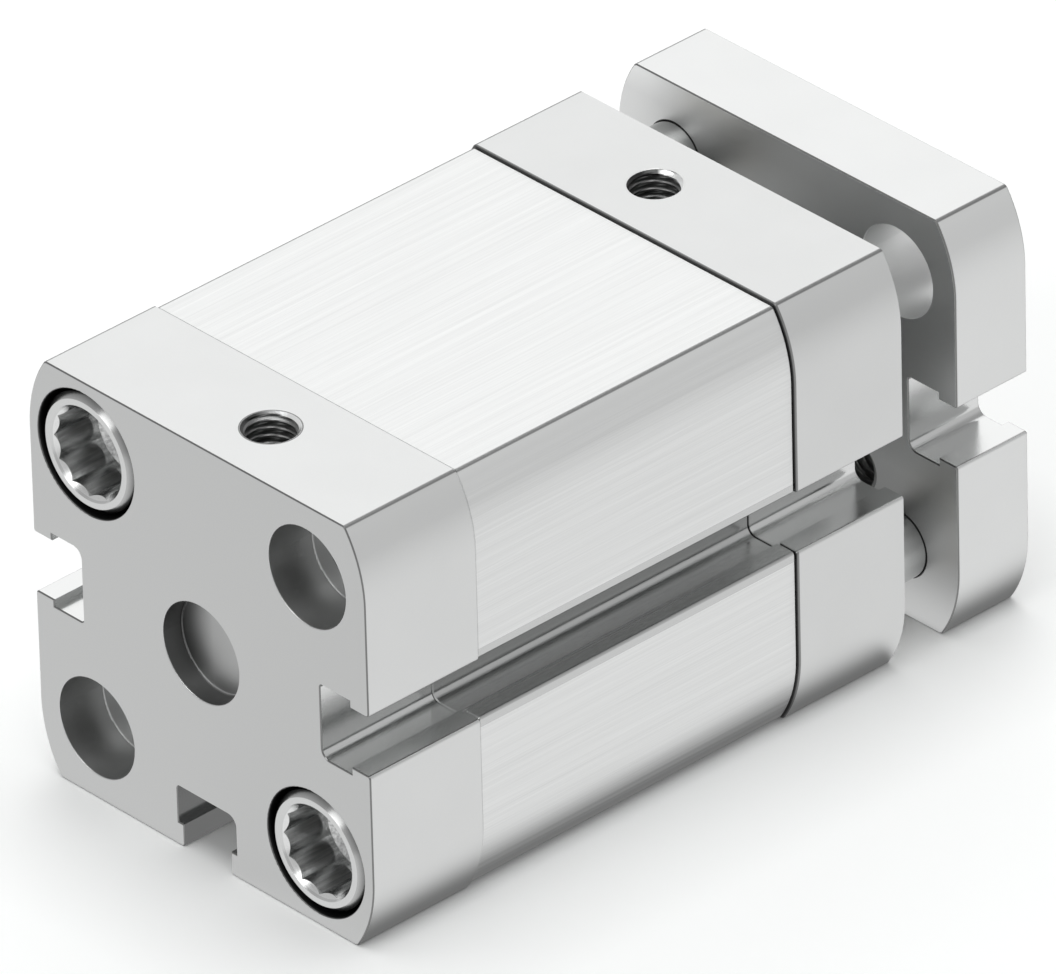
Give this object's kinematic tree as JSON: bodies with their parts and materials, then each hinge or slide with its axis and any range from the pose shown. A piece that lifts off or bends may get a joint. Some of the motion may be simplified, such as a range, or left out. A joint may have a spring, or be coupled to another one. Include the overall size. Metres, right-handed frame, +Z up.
{
  "type": "guided compact pneumatic cylinder",
  "caption": "Square-bodied compact air cylinder with a yoke plate on guide rods, air ports on top and sensor T-slots along both sides and below.",
  "frame": {"origin": "on the piston axis in the rear face, at the mouth of the centring bore", "axes": "+X along the rod from the rear face towards the yoke plate, +Z up through the air ports, +Y left as seen from behind"},
  "size_m": [0.073, 0.0396, 0.0396],
  "materials": {
    "brushed_aluminium": "brushed lengthwise, clear anodised",
    "satin_aluminium": "fine satin, clear anodised",
    "turned_aluminium": "turned",
    "plated_steel": "bright plated",
    "ground_steel": "ground and polished",
    "bronze": "sintered",
    "magnet": "matt",
    "wear_plastic": "matt",
    "cushion_rubber": "matt",
    "seal_rubber": "matt"
  },
  "bodies": {
    "housing": {"barrel": "brushed_aluminium", "rear_cap": "satin_aluminium", "front_cap": "satin_aluminium", "rear_collar_screws": "plated_steel", "front_collar_screws": "plated_steel", "rear_cap_o_ring": "seal_rubber", "front_cap_o_ring": "seal_rubber", "rear_cushion_ring": "cushion_rubber", "front_cushion_ring": "cushion_rubber", "rod_bush": "bronze", "rod_seal": "seal_rubber", "guide_bush_upper": "bronze", "guide_bush_lower": "bronze"},
    "rod": {"piston_rear_half": "turned_aluminium", "piston_front_half": "turned_aluminium", "piston_rear_seal": "seal_rubber", "piston_front_seal": "seal_rubber", "piston_wear_ring": "wear_plastic", "piston_magnet": "magnet", "piston_nut": "plated_steel", "rod_o_ring": "seal_rubber", "piston_rod": "ground_steel", "yoke_plate": "satin_aluminium", "yoke_screw": "plated_steel", "guide_rod_upper": "ground_steel", "guide_rod_lower": "ground_steel", "guide_rod_screws": "plated_steel"}
  },
  "joints": [
    {"name": "rod_stroke", "type": "slide", "parent": "housing", "child": "rod", "axis": [1, 0, 0], "range_m": [0, 0.02]}
  ]
}
